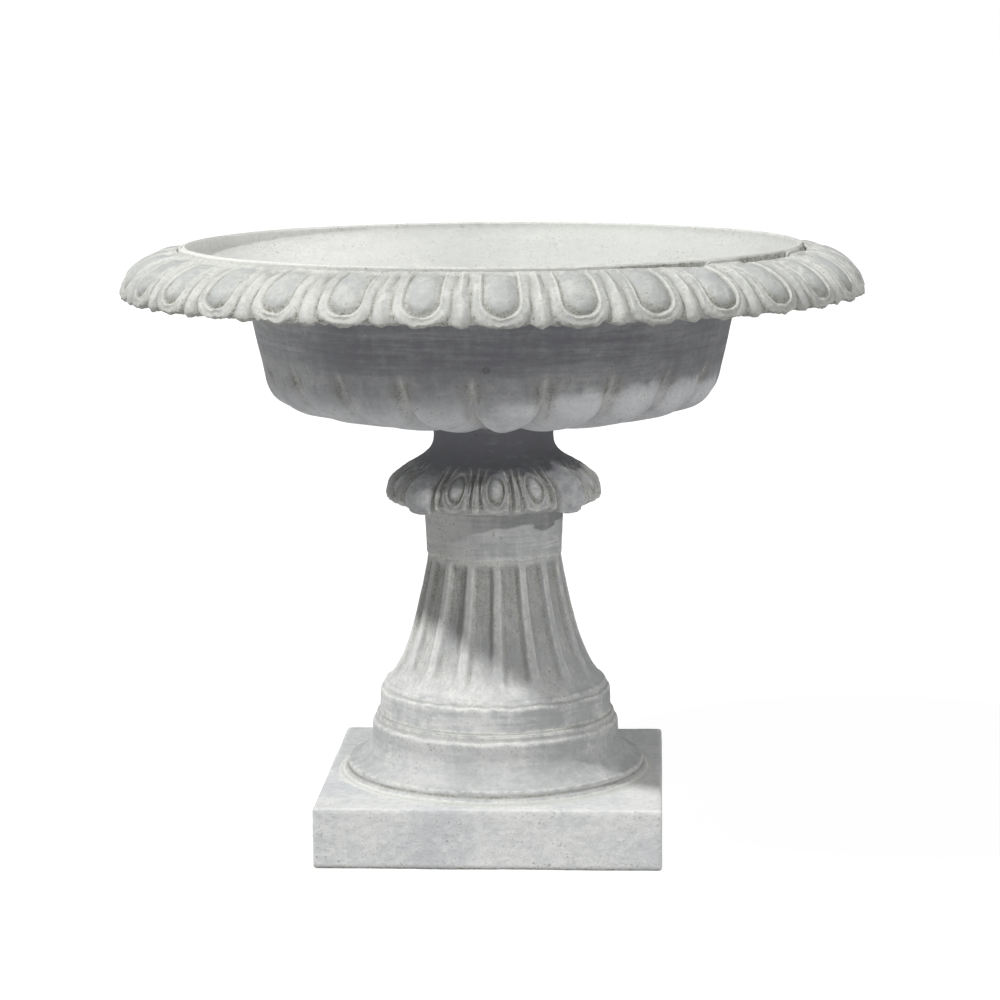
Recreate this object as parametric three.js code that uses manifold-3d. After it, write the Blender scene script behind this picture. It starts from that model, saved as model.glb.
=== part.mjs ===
// A garden urn of cast stone: a shallow gadrooned bowl under a wide rim of eggs and tongues, on a collar of
// small eggs, a fluted shaft, a moulded foot and a square plinth. One steel rod clamps the castings together.
// Millimetres, +Z up, with the origin at the centre of the plinth's underside. Angles run from -Y towards +X.
import * as THREE from "three";
import { mergeVertices } from "three/addons/utils/BufferGeometryUtils.js";
import Module from "manifold-3d";

const wasm = await Module();
wasm.setup();

// Heights of the castings, from the ground up
const plinthHeight = 49;
const footHeight = 47.5;
const shaftHeight = 168.5;
const collarHeight = 69.5;
const bowlHeight = 143;

// Widths of the castings
const plinthSide = 275;
const footRadius = 125.5;
const bandRadius = 95.5;
const cuffRadius = 57;
const neckRadius = 48.6;
const collarRadius = 89.5;
const bowlRadius = 197;
const mouthRadius = 245;
const rimWidth = 55;

// Joints: each casting has a spigot underneath, which drops into the socket of the one below, over a mortar bed
const bedThickness = 1;
const bedInset = 4;
const fitGap = 0.3;
const spigotRadius = 29.5;
const spigotLength = 12;
const spigotClearance = 0.7;
const socketSpare = 2;
const passageRadius = 21.5;

// Repeats round each casting, and the angle in degrees of the first of each
const rimEggs = 32;
const rimPhase = 4.4;
const gadroons = 21;
const gadroonPhase = 6.8;
const collarEggs = 16;
const collarPhase = 4.1;
const flutes = 16;
const flutePhase = 16.4;

// How deep each ornament is cut
const rimRelief = 4.6;
const gadroonDepth = 8;
const collarRelief = 3.6;
const fluteDepth = 3.8;

// Fineness of the round surfaces
const plainSides = 36;
const bedSides = 18;
const smallSides = 16;
const curveSteps = 4;

// Worked out from the sizes above: the sockets, and the level of each casting's seat
const socketRadius = spigotRadius + spigotClearance;
const joint = bedThickness + 2 * fitGap;
const footBase = plinthHeight + joint;
const shaftBase = footBase + footHeight + joint;
const collarBase = shaftBase + shaftHeight + joint;
const bowlBase = collarBase + collarHeight + joint;
const socketDepth = spigotLength + socketSpare;

const stone = { color: 0xcfd2cc, roughness: 0.9, metalness: 0 };
const palestone = { color: 0xdcdfd8, roughness: 0.9, metalness: 0 };
const mortar = { color: 0xa9a59b, roughness: 1, metalness: 0 };
const steel = { color: 0x9a9c9e, roughness: 0.35, metalness: 1 };
const rubber = { color: 0x2b2b2d, roughness: 0.8, metalness: 0 };

const urn = new THREE.Group();

function addPiece(name, geometry, finish) {
  const mesh = new THREE.Mesh(geometry, new THREE.MeshStandardMaterial(finish));
  mesh.name = name;
  urn.add(mesh);
}

// Solids and booleans

function bare(geometry) {
  const copy = geometry.clone();
  copy.deleteAttribute("normal");
  copy.deleteAttribute("uv");
  return mergeVertices(copy);
}

function toSolid(geometry) {
  const merged = bare(geometry);
  return new wasm.Manifold(
    new wasm.Mesh({
      numProp: 3,
      vertProperties: merged.attributes.position.array,
      triVerts: new Uint32Array(merged.index.array),
    }),
  );
}

function toGeometry(solid) {
  const { vertProperties, triVerts } = solid.getMesh();
  const geometry = new THREE.BufferGeometry();
  geometry.setAttribute("position", new THREE.BufferAttribute(vertProperties, 3));
  geometry.setIndex(new THREE.BufferAttribute(triVerts, 1));
  return geometry;
}

// A piece turned about the Z axis from a closed outline of radius and height
function turned(outline, sides = plainSides) {
  const points = outline.getPoints(curveSteps);
  points[points.length - 1] = points[0].clone();
  if (THREE.ShapeUtils.isClockWise(points)) points.reverse();
  const geometry = new THREE.LatheGeometry(points, sides);
  geometry.rotateX(Math.PI / 2);
  return bare(geometry);
}

// The handles of a curve, each placed by its shares of the way across and along from start to end
function curveBetween(start, end, handleShares) {
  const way = end.clone().sub(start);
  const handles = handleShares.map(([across, along]) => {
    return new THREE.Vector2(start.x + across * way.x, start.y + along * way.y);
  });
  return new THREE.CubicBezierCurve(start, ...handles, end);
}

function curveTo(path, radius, height, handleShares) {
  const { v1, v2 } = curveBetween(path.currentPoint.clone(), new THREE.Vector2(radius, height), handleShares);
  path.bezierCurveTo(v1.x, v1.y, v2.x, v2.y, radius, height);
}

function washer(outer, inner, base, thickness, sides = plainSides) {
  const outline = new THREE.Path();
  outline.moveTo(inner, base);
  outline.lineTo(outer, base);
  outline.lineTo(outer, base + thickness);
  outline.lineTo(inner, base + thickness);
  outline.closePath();
  return turned(outline, sides);
}

function extruded(shape, base, height, bevel = 0) {
  const geometry = new THREE.ExtrudeGeometry(shape, {
    depth: height - 2 * bevel,
    curveSegments: smallSides / 2,
    bevelEnabled: bevel > 0,
    bevelThickness: bevel,
    bevelSize: bevel,
    bevelOffset: -bevel,
    bevelSegments: 2,
  });
  geometry.translate(0, 0, base + bevel);
  return geometry;
}

// A rectangle with its corners taken off
function rectangle(width, depth, corner) {
  const x = width / 2;
  const y = depth / 2;
  const shape = new THREE.Shape();
  shape.moveTo(x, corner - y);
  for (const [right, up] of [[1, 1], [-1, 1], [-1, -1], [1, -1]]) {
    const along = right === up;
    shape.lineTo(right * (along ? x : x - corner), up * (along ? y - corner : y));
    shape.lineTo(right * (along ? x - corner : x), up * (along ? y : y - corner));
  }
  return shape;
}

function drilled(shape, radius) {
  const hole = new THREE.Path();
  hole.absarc(0, 0, radius, 0, 2 * Math.PI, true);
  shape.holes.push(hole);
  return shape;
}

// Skins of ornamented castings: a list of rings, each a list of { angle, radius, height } in order of angle

function plainRing(radius, height, sides) {
  const ring = [];
  for (let i = 0; i < sides; i += 1) {
    ring.push({ angle: (2 * Math.PI * i) / sides, radius, height });
  }
  return ring;
}

function plainRings(outline, sides = plainSides) {
  return outline.getPoints(curveSteps).map((point) => plainRing(point.x, point.y, sides));
}

// The ornament's rings follow the points of an outline, each point sunk along the outline's normal. At each
// row's share of the way along, columns gives the points across one repeat: their places and depth shares.
function ornamentRings(points, rowShares, count, phase, depth, columns) {
  const pitch = (2 * Math.PI) / count;
  return points.map((point, k) => {
    const before = points[Math.max(k - 1, 0)];
    const after = points[Math.min(k + 1, points.length - 1)];
    const along = after.clone().sub(before).normalize();
    const ring = [];
    for (let unit = 0; unit < count; unit += 1) {
      for (const [place, sink] of columns(rowShares[k])) {
        ring.push({
          angle: ((unit + place) * pitch + THREE.MathUtils.degToRad(phase)) % (2 * Math.PI),
          radius: point.x + along.y * depth * sink,
          height: point.y - along.x * depth * sink,
        });
      }
    }
    return ring.sort((a, b) => a.angle - b.angle);
  });
}

// One repeat from its half: the places from the middle out, mirrored for the other side
function mirrored(half) {
  const inner = half.filter(([place]) => place > 0 && place < 0.5);
  return [...half, ...inner.map(([place, sink]) => [-place, sink])];
}

// Joins each ring to the next and the last to the first
function ringSolid(rings) {
  const positions = [];
  const starts = rings.map((ring) => {
    const start = positions.length / 3;
    for (const { angle, radius, height } of ring) {
      positions.push(radius * Math.sin(angle), -radius * Math.cos(angle), height);
    }
    return start;
  });
  const index = [];
  rings.forEach((ring, k) => {
    const next = (k + 1) % rings.length;
    const other = rings[next];
    const angleAt = (list, i) => list[i % list.length].angle + (i >= list.length ? 2 * Math.PI : 0);
    let i = 0;
    let j = 0;
    while (i < ring.length || j < other.length) {
      const a = starts[k] + (i % ring.length);
      const b = starts[next] + (j % other.length);
      const first = i < ring.length && (j >= other.length || angleAt(ring, i + 1) <= angleAt(other, j + 1));
      if (first) {
        i += 1;
        index.push(a, b, starts[k] + (i % ring.length));
      } else {
        j += 1;
        index.push(a, b, starts[next] + (j % other.length));
      }
    }
  });
  const geometry = new THREE.BufferGeometry();
  geometry.setAttribute("position", new THREE.Float32BufferAttribute(positions, 3));
  geometry.setIndex(index);
  return geometry;
}

// The inside of a casting, from its spigot's root down and up the passage to the mouth of its socket
function passage(base, top) {
  const outline = new THREE.Path();
  outline.moveTo(spigotRadius, base);
  outline.lineTo(spigotRadius, base - spigotLength);
  outline.lineTo(passageRadius, base - spigotLength);
  outline.lineTo(passageRadius, top - socketDepth);
  outline.lineTo(socketRadius, top - socketDepth);
  outline.lineTo(socketRadius, top);
  return plainRings(outline, smallSides);
}

// Eggs and tongues, for the rim and for the collar

const eggHalfShare = 0.21; // of one repeat, from the egg's middle to its groove
const huskHalfShare = 0.35; // to the outside of the husk round the egg
const eggTipShare = 0.06; // where the egg has closed
const tongueSinkShare = 0.3; // of the relief, how far the tongue's middle lies down
const waistShare = 0.4; // of the way down, where the egg starts to close
const eggEndShare = 0.8; // where it has closed
const huskEndShare = 1.35; // where the husk would close, past the edge
const fadeShares = [-0.1, 0.3]; // where the grooves start, and where they are fully deep
const eggRowShares = [0, 0.25, 0.5, 0.68, eggEndShare, 0.9, 1];

function closing(v, endShare) {
  const gone = THREE.MathUtils.clamp((v - waistShare) / (endShare - waistShare), 0, 1);
  return Math.sqrt(1 - gone * gone);
}

// Depth shares from the egg's middle out: the egg, its groove, its husk, the groove outside, and the tongue
function eggColumns(v) {
  const egg = Math.max(eggTipShare, eggHalfShare * closing(v, eggEndShare));
  const husk = huskHalfShare * closing(v, huskEndShare);
  const fade = THREE.MathUtils.smoothstep(v, ...fadeShares);
  return mirrored([
    [0, v === eggEndShare ? fade : 0],
    [egg, v > eggEndShare ? 0 : fade],
    [(egg + husk) / 2, 0],
    [husk, fade],
    [0.5, tongueSinkShare * fade],
  ]);
}

function eggRings(curve, count, phase, depth) {
  const points = eggRowShares.map((share) => curve.getPointAt(share));
  return ornamentRings(points, eggRowShares, count, phase, depth, eggColumns);
}

// Plinth: a square block, hollow underneath, with a deck that takes the foot's spigot

const plinthWall = 34;
const plinthDeck = 22;
const plinthCorner = 3;
const plinthBevel = 2;
const cutOverrun = 1;

function makePlinth() {
  const square = rectangle(plinthSide, plinthSide, plinthCorner);
  const block = toSolid(extruded(square, 0, plinthHeight, plinthBevel));
  const inside = plinthSide - 2 * plinthWall;
  const recessHeight = plinthHeight - plinthDeck;
  const recess = extruded(rectangle(inside, inside, 2 * plinthCorner), -cutOverrun, recessHeight + cutOverrun);
  const socket = washer(socketRadius, 0, recessHeight - cutOverrun, plinthDeck + 2 * cutOverrun, smallSides);
  const plinth = block.subtract(toSolid(recess)).subtract(toSolid(socket));
  addPiece("plinth", toGeometry(plinth), stone);
}

// Foot: a low fillet and nose, a hollow curve sweeping up to the waist, and a fillet under the shaft

const footFilletHeight = 3;
const noseWidth = 4;
const noseHeight = 5.5;
const waistHeight = 12;
const waistStep = 3.1;
const topFilletWidth = 2.7;
const topFilletHeight = 5;
const slopeShare = 0.33; // of a fillet's step, how far its top falls
const coveShares = [[0, 0.5], [0.5, 0.875]];

function makeFoot() {
  const top = footBase + footHeight;
  const noseRadius = footRadius - noseWidth;
  const noseTop = footBase + footFilletHeight + noseHeight;
  const topFilletRadius = bandRadius + topFilletWidth;
  const waistRadius = topFilletRadius + waistStep;
  const waistTop = top - topFilletHeight;
  const outline = new THREE.Path();
  outline.moveTo(topFilletRadius, top);
  outline.lineTo(topFilletRadius, waistTop);
  outline.lineTo(waistRadius, waistTop - slopeShare * waistStep);
  outline.lineTo(waistRadius, waistTop - waistHeight);
  curveTo(outline, noseRadius, noseTop, coveShares);
  outline.lineTo(noseRadius, footBase + footFilletHeight);
  outline.lineTo(footRadius, footBase + footFilletHeight - slopeShare * noseWidth);
  outline.lineTo(footRadius, footBase);
  addPiece("moulded_foot", ringSolid([...passage(footBase, top), ...plainRings(outline)]), stone);
}

// Shaft: a plain band and a ring, flutes that flare towards them, and a plain cuff at the top

const bandHeight = 20;
const bandTaper = 1.3;
const ringStep = 4.7;
const ringHeight = 6;
const ringRounding = 1;
const fluteEndStep = 7.2;
const cuffHeight = 36.5;
const cuffTaper = 1.8;
const cuffStep = 1;
const channelHalfShare = 0.38; // of one repeat, from the middle of a channel to its edge
const channelShares = [[0, 1], [0.6, 0.75], [1, 0]]; // across half a channel: the place and the depth
const runOutShare = 0.14; // of the way, the length in which a channel runs out
const runOutHalfShare = 0.55; // of its width, what is left where it has run out
const fluteShares = [[0.19, 0.37], [0.5, 0.83]];
const fluteRowShares = [0, 0.025, 0.3, 0.55, 0.75, 0.88, 0.95, 1];

// A channel is a hollow curve across, square at its top and rounded where it runs out at the bottom
function fluteColumns(v) {
  const left = THREE.MathUtils.clamp((1 - v) / runOutShare, 0, 1);
  const depth = v > 0 ? left : 0;
  const half = channelHalfShare * THREE.MathUtils.lerp(runOutHalfShare, 1, Math.sqrt(left));
  return mirrored(channelShares.map(([place, sink]) => [place * half, sink * depth]));
}

function makeShaft() {
  const top = shaftBase + shaftHeight;
  const cuffBase = top - cuffHeight;
  const bandTop = shaftBase + bandHeight;
  const ringTop = bandTop + ringHeight;
  const ringRadius = bandRadius - ringStep;
  const fluteTopRadius = cuffRadius - cuffTaper - cuffStep;
  const cuff = new THREE.Path();
  cuff.moveTo(cuffRadius, top);
  cuff.lineTo(fluteTopRadius + cuffStep, cuffBase);
  cuff.lineTo(fluteTopRadius, cuffBase - cuffStep);
  const flare = curveBetween(
    new THREE.Vector2(fluteTopRadius, cuffBase - 2 * cuffStep),
    new THREE.Vector2(bandRadius - fluteEndStep, ringTop),
    fluteShares,
  );
  const flutePoints = fluteRowShares.map((share) => flare.getPointAt(share));
  const fluted = ornamentRings(flutePoints, fluteRowShares, flutes, flutePhase, fluteDepth, fluteColumns);
  const mouldings = new THREE.Path();
  mouldings.moveTo(ringRadius - ringRounding, ringTop - ringRounding);
  mouldings.lineTo(ringRadius, bandTop + 2 * ringRounding);
  mouldings.lineTo(ringRadius - ringRounding, bandTop);
  mouldings.lineTo(bandRadius - bandTaper, bandTop - ringRounding);
  mouldings.lineTo(bandRadius, shaftBase);
  const rings = [...passage(shaftBase, top), ...plainRings(cuff), ...fluted, ...plainRings(mouldings)];
  addPiece("fluted_shaft", ringSolid(rings), stone);
}

// Collar: a narrow neck that opens into a skirt of small eggs, hanging over the shaft's cuff

const capFlare = 3.4;
const neckDrop = 12.4;
const neckFlare = 13.4;
const skirtTopDrop = 31;
const skirtEdgeHeight = 4.5;
const skirtLipWidth = 7.2;
const skirtLipDrop = 1.1;
const skirtWallWidth = 7;
const capShares = [[0.67, 0.28], [1, 0.61]];
const neckShares = [[0, 0.4], [0.33, 0.73]];
const skirtShares = [[0.75, 0.25], [1.22, 0.55]];

function makeCollar() {
  const top = collarBase + collarHeight;
  const skirtTop = top - skirtTopDrop;
  const skirtEdge = collarBase + skirtEdgeHeight;
  const skirtTopRadius = neckRadius + neckFlare;
  const skirtRadius = collarRadius - collarRelief;
  const neck = new THREE.Path();
  neck.moveTo(neckRadius + capFlare, top);
  curveTo(neck, neckRadius, top - neckDrop, capShares);
  curveTo(neck, skirtTopRadius - fitGap, skirtTop + fitGap, neckShares);
  const skirt = curveBetween(
    new THREE.Vector2(skirtTopRadius, skirtTop),
    new THREE.Vector2(skirtRadius, skirtEdge),
    skirtShares,
  );
  const eggs = eggRings(skirt, collarEggs, collarPhase, collarRelief);
  const under = new THREE.Path();
  under.moveTo(skirtRadius - skirtLipWidth, skirtEdge - skirtLipDrop);
  under.lineTo(cuffRadius + skirtWallWidth, skirtEdge);
  under.lineTo(cuffRadius, collarBase);
  const rings = [...passage(collarBase, top), ...plainRings(neck), ...eggs, ...plainRings(under)];
  addPiece("neck_collar", ringSolid(rings), stone);
}

// Bowl: a drilled floor, a belly of gadroons, a nearly upright wall, a shoulder that carries the rim, and a lip

const floorThickness = 19;
const wallThickness = 17;
const wallLean = 11;
const cornerWidth = 38;
const cornerHeight = 40;
const bellyHeight = 10.5;
const basinHeight = 57;
const shoulderFlare = 25;
const shoulderWidth = 23;
const shoulderDrop = 33;
const shoulderRise = 19;
const shoulderThickness = 9;
const lipThickness = 4.5;
const lipRounding = 1.5;
const shoulderShares = [[0.57, 0], [0.9, 0.33]];
const cornerShares = [[0.11, 0.68], [0.4, 0.86]];
const bellyShares = [[0.35, 0.67], [0.68, 1]];
const basinShares = [[0.55, 0], [0.88, 0.33]];
const mouthShares = [[0.13, 0.59], [0.87, 0.59]];
const lobeShares = [[0, 0], [0.26, 0.2], [0.5, 1]]; // across half a lobe: the place and the depth
const lobeRowShares = [0, 0.12, 0.24, 0.34, 0.44, 0.54, 0.65, 0.78, 0.9, 1];
const creaseStartShares = [0, 0.3]; // of the way down, where the creases start and are fully deep
const creaseEndShares = [0.6, 1]; // where they start to thin out and have gone

const shoulderRadius = mouthRadius + shoulderWidth;
const shoulder = bowlBase + bowlHeight - shoulderDrop;
const wallTop = shoulder - shoulderRise;
const bossRadius = neckRadius + capFlare;

// Full round lobes between sharp creases, which start half way up the wall and thin out under the belly
function lobeColumns(v) {
  const started = THREE.MathUtils.smoothstep(v, ...creaseStartShares);
  const ended = THREE.MathUtils.smoothstep(v, ...creaseEndShares);
  return mirrored(lobeShares.map(([place, sink]) => [place, sink * (started - ended)]));
}

function makeBowl() {
  const top = bowlBase + bowlHeight;
  const lipRadius = mouthRadius + lipThickness;
  const outside = new THREE.Path();
  outside.moveTo(mouthRadius + lipRounding, top);
  outside.lineTo(lipRadius - lipRounding, top);
  outside.lineTo(lipRadius, top - lipRounding);
  outside.lineTo(lipRadius, shoulder + shoulderThickness);
  outside.lineTo(shoulderRadius, shoulder + shoulderThickness);
  outside.lineTo(shoulderRadius, shoulder);
  outside.lineTo(bowlRadius + shoulderFlare, shoulder);
  curveTo(outside, bowlRadius, wallTop, shoulderShares);

  const cornerRadius = bowlRadius - wallLean;
  const bellyRadius = cornerRadius - cornerWidth;
  const lobeStart = new THREE.Vector2(bowlRadius - wallLean / 2, (bowlBase + cornerHeight + wallTop) / 2);
  const corner = new THREE.Vector2(cornerRadius, bowlBase + cornerHeight);
  const turn = new THREE.Vector2(bellyRadius, bowlBase + bellyHeight);
  const belly = new THREE.CurvePath();
  belly.add(new THREE.LineCurve(lobeStart, corner));
  belly.add(curveBetween(corner, turn, cornerShares));
  belly.add(curveBetween(turn, new THREE.Vector2(bossRadius + lipThickness, bowlBase), bellyShares));
  const lobePoints = lobeRowShares.map((share) => belly.getPointAt(share));
  const lobes = ornamentRings(lobePoints, lobeRowShares, gadroons, gadroonPhase, gadroonDepth, lobeColumns);

  const floor = bowlBase + floorThickness;
  const drain = new THREE.Path();
  drain.moveTo(spigotRadius, bowlBase);
  drain.lineTo(spigotRadius, bowlBase - spigotLength);
  drain.lineTo(passageRadius, bowlBase - spigotLength);
  drain.lineTo(passageRadius, floor);
  const inside = new THREE.Path();
  inside.moveTo(bellyRadius - wallThickness, floor);
  curveTo(inside, cornerRadius - wallThickness / 2, bowlBase + basinHeight, basinShares);
  inside.lineTo(bowlRadius - wallThickness, wallTop);
  curveTo(inside, mouthRadius, top - lipThickness, mouthShares);
  inside.lineTo(mouthRadius, top - lipRounding);
  const rings = [...plainRings(outside), ...lobes, ...plainRings(drain, smallSides), ...plainRings(inside)];
  addPiece("bowl", ringSolid(rings), stone);
}

// Rim: a quarter round of eggs and tongues, rebated to sit on the bowl's shoulder and hook over it

const rimRise = 38;
const rimClearance = 1.5;
const rimDrop = 0.5;
const rimRounding = 1.5;
const rimEdgeInset = 3;
const rimEdgeDrop = 4.5;
const rimEdgeWidth = 9;
const rimSoffitInset = 18;
const rimSoffitRise = 6;
const rimShares = [[0.53, 0], [1, 0.47]];

function makeRim() {
  const top = bowlBase + bowlHeight - rimDrop;
  const seatTop = shoulder + shoulderThickness + joint;
  const innerRadius = mouthRadius + lipThickness + rimClearance;
  const hookRadius = shoulderRadius + rimClearance;
  const rimRadius = mouthRadius + rimWidth;
  const widest = new THREE.Vector2(rimRadius, top - rimRise);
  const edge = new THREE.Vector2(rimRadius - rimEdgeInset, top - rimRise - rimEdgeDrop);
  const round = new THREE.CurvePath();
  round.add(curveBetween(new THREE.Vector2(innerRadius + rimRounding, top), widest, rimShares));
  round.add(new THREE.LineCurve(widest, edge));
  const eggs = eggRings(round, rimEggs, rimPhase, rimRelief);
  const soffit = edge.y + rimSoffitRise;
  const inside = new THREE.Path();
  inside.moveTo(rimRadius - rimEdgeWidth, edge.y + rimEdgeInset);
  inside.lineTo(rimRadius - rimSoffitInset, soffit);
  inside.lineTo(hookRadius, soffit);
  inside.lineTo(hookRadius, seatTop);
  inside.lineTo(innerRadius, seatTop);
  inside.lineTo(innerRadius, top - rimRounding);
  addPiece("rim_ring", ringSolid([...eggs, ...plainRings(inside)]), palestone);
}

// Mortar beds in the joints, kept back from the face so that they don't show

function makeBeds() {
  const beds = [
    ["mortar_bed_foot", footBase, socketRadius, footRadius],
    ["mortar_bed_shaft", shaftBase, socketRadius, bandRadius],
    ["mortar_bed_collar", collarBase, socketRadius, cuffRadius],
    ["mortar_bed_bowl", bowlBase, socketRadius, bossRadius],
  ];
  for (const [name, level, inner, outer] of beds) {
    addPiece(name, washer(outer - bedInset, inner, level - joint + fitGap, bedThickness, bedSides), mortar);
  }
  const shoulderTop = shoulder + shoulderThickness;
  const inner = mouthRadius + lipThickness + rimClearance;
  const outer = shoulderRadius - rimClearance;
  addPiece("mortar_bed_rim", washer(outer, inner, shoulderTop + fitGap, bedThickness), mortar);
}

// Tie rod: it runs down the middle of the passage, from a bar across the drain hole in the bowl's floor to a bar
// under the plinth's deck, so that rainwater drains past it

const rodRadius = 5;
const rodClearance = 0.5;
const barWidth = 20;
const barThickness = 6;
const barCorner = 3;
const barBearing = 17.8;
const washerRadius = 9.8;
const washerThickness = 2;
const nutFlats = 16;
const nutThickness = 8;
const rodEnd = 3;
const padThickness = 1.5;
const padLength = 16;
const padSetback = 4.5;

function makeNut(name, base) {
  const shape = new THREE.Shape();
  const corner = nutFlats / Math.sqrt(3);
  for (let side = 0; side < 6; side += 1) {
    const angle = (Math.PI / 3) * side;
    shape[side ? "lineTo" : "moveTo"](corner * Math.cos(angle), corner * Math.sin(angle));
  }
  addPiece(name, extruded(drilled(shape, rodRadius + fitGap), base, nutThickness), steel);
}

function makeTieWasher(name, base) {
  const inner = rodRadius + rodClearance;
  addPiece(name, washer(washerRadius, inner, base, washerThickness, smallSides), steel);
}

function makeBar(name, length, base) {
  const shape = drilled(rectangle(barWidth, length, barCorner), rodRadius + rodClearance);
  addPiece(name, extruded(shape, base, barThickness), steel);
}

function makePads(base) {
  for (const [name, side] of [["front_pad", -1], ["rear_pad", 1]]) {
    const pad = extruded(rectangle(barWidth, padLength, barCorner), base, padThickness);
    pad.translate(0, side * (passageRadius + padSetback + padLength / 2), 0);
    addPiece(name, pad, rubber);
  }
}

function makeTie() {
  const floor = bowlBase + floorThickness;
  const deck = plinthHeight - plinthDeck;
  const padBase = floor + fitGap;
  const topBar = padBase + padThickness + fitGap;
  const topWasher = topBar + barThickness + fitGap;
  const topNut = topWasher + washerThickness + fitGap;
  const bottomBar = deck - fitGap - barThickness;
  const bottomWasher = bottomBar - fitGap - washerThickness;
  const bottomNut = bottomWasher - fitGap - nutThickness;
  const rodBase = bottomNut - rodEnd;
  const rodTop = topNut + nutThickness + rodEnd;
  makePads(padBase);
  makeBar("top_clamp_bar", 2 * (passageRadius + padSetback + padLength), topBar);
  makeTieWasher("top_washer", topWasher);
  makeNut("top_nut", topNut);
  makeBar("bottom_clamp_bar", 2 * (socketRadius + barBearing), bottomBar);
  makeTieWasher("bottom_washer", bottomWasher);
  makeNut("bottom_nut", bottomNut);
  addPiece("tie_rod", washer(rodRadius, 0, rodBase, rodTop - rodBase, smallSides), steel);
}

makePlinth();
makeFoot();
makeShaft();
makeCollar();
makeBowl();
makeRim();
makeBeds();
makeTie();

export default urn;
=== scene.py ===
from math import pi, radians, sqrt

import bpy
import numpy as np
from mathutils import Euler, Matrix, Vector, geometry, noise


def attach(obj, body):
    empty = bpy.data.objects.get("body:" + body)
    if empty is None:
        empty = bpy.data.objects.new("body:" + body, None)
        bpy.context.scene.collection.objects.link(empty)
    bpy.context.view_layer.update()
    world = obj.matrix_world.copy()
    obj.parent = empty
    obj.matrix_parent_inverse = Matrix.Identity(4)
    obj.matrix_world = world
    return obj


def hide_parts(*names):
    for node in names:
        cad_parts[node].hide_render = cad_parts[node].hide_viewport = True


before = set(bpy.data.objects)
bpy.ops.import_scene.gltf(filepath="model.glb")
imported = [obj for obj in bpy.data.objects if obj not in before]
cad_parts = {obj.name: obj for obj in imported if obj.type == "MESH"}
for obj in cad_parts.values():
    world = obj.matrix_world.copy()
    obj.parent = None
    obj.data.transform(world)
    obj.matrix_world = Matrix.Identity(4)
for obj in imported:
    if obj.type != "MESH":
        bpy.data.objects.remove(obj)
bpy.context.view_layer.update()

mm = 0.001  # lengths are in mm in the settings of the pieces, and in m in the finishes and the view
fullTurn = 2 * pi
print("frame loaded:", sorted(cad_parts))


# tools shared by all the pieces

def goTo(mode):
    bpy.ops.object.mode_set(mode=mode)


def startPiece():
    if bpy.context.object and bpy.context.object.mode != "OBJECT":
        goTo("OBJECT")
    bpy.ops.object.select_all(action="DESELECT")


def takeUp(piece):
    startPiece()
    piece.select_set(True)
    bpy.context.view_layer.objects.active = piece


def openUp(piece):  # edit mode, with all of the mesh selected
    takeUp(piece)
    goTo("EDIT")
    bpy.ops.mesh.select_all(action="SELECT")


def closeUp(piece):  # merges the seams and turns all the faces outwards
    openUp(piece)
    bpy.ops.mesh.remove_doubles(threshold=0.02 * mm)
    bpy.ops.mesh.normals_make_consistent(inside=False)
    goTo("OBJECT")


def turnTo(piece, angle):  # turned about Z, with its turn, size and place put into the mesh
    takeUp(piece)
    piece.rotation_euler.z = angle
    bpy.ops.object.transform_apply(location=True, rotation=True, scale=True)


def applyModifier(piece, kind, **settings):
    takeUp(piece)
    modifier = piece.modifiers.new(kind.lower(), kind)
    for name, value in settings.items():
        setattr(modifier, name, value)
    bpy.ops.object.modifier_apply(modifier=modifier.name)


def softStep(value, low, high):  # 0 below low and 1 above high, eased between them
    share = np.clip((value - low) / (high - low), 0, 1)
    return share * share * (3 - 2 * share)


def plateau(value, low, full, fade, high):  # rises from low to full and falls from fade to high
    return softStep(value, low, full) * (1 - softStep(value, fade, high))


def hump(value, middle, width):  # 1 at the middle, fading to both sides
    return np.exp(-((value - middle) / width) ** 2)


def easedProfile(spots, heights, value):  # heights joined by rounded slopes, so ridges and valleys come out round
    spots = np.array(spots)
    heights = np.array(heights)
    k = np.clip(np.searchsorted(spots, value) - 1, 0, len(spots) - 2)
    return heights[k] + (heights[k + 1] - heights[k]) * softStep(value, spots[k], spots[k + 1])


def curvedLine(start, end, shares, steps):  # a curve in radius and height, its handles placed as in the CAD
    handles = [Vector((start[0] + a * (end[0] - start[0]), start[1] + b * (end[1] - start[1]))) for a, b in shares]
    points = geometry.interpolate_bezier(Vector(start), handles[0], handles[1], Vector(end), steps + 1)
    return [(point.x, point.y) for point in points]


def filleted(corners, spacing):  # corners are (radius, height) or (radius, height, rounding)
    points = []
    for k, corner in enumerate(corners):
        here = Vector(corner[:2])
        rounding = corner[2] if len(corner) > 2 else 0
        if rounding == 0 or k in (0, len(corners) - 1):
            points.append(here)
            continue
        before = Vector(corners[k - 1][:2]) - here
        after = Vector(corners[k + 1][:2]) - here
        first = here + before.normalized() * min(rounding, 0.48 * before.length)
        last = here + after.normalized() * min(rounding, 0.48 * after.length)
        for step in range(4):
            t = step / 3
            points.append(first * (1 - t) ** 2 + here * 2 * t * (1 - t) + last * t ** 2)
    line = [points[0]]
    for point in points[1:]:
        start = line[-1]
        gap = point - start
        if gap.length < 0.05:
            continue
        pieces = max(1, round(gap.length / spacing))
        line += [start + gap * (i + 1) / pieces for i in range(pieces)]
    return [(point.x, point.y) for point in line]


def runOn(*runs):  # runs of (corners, spacing), each beginning where the one before it ends
    line = filleted(*runs[0])
    for corners, spacing in runs[1:]:
        line += filleted(corners, spacing)[1:]
    return line


def mark(piece, name, values):  # a value kept on each vertex
    attribute = piece.data.attributes.get(name) or piece.data.attributes.new(name, "FLOAT", "POINT")
    attribute.data.foreach_set("value", np.full(len(piece.data.vertices), values, np.float32))


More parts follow.
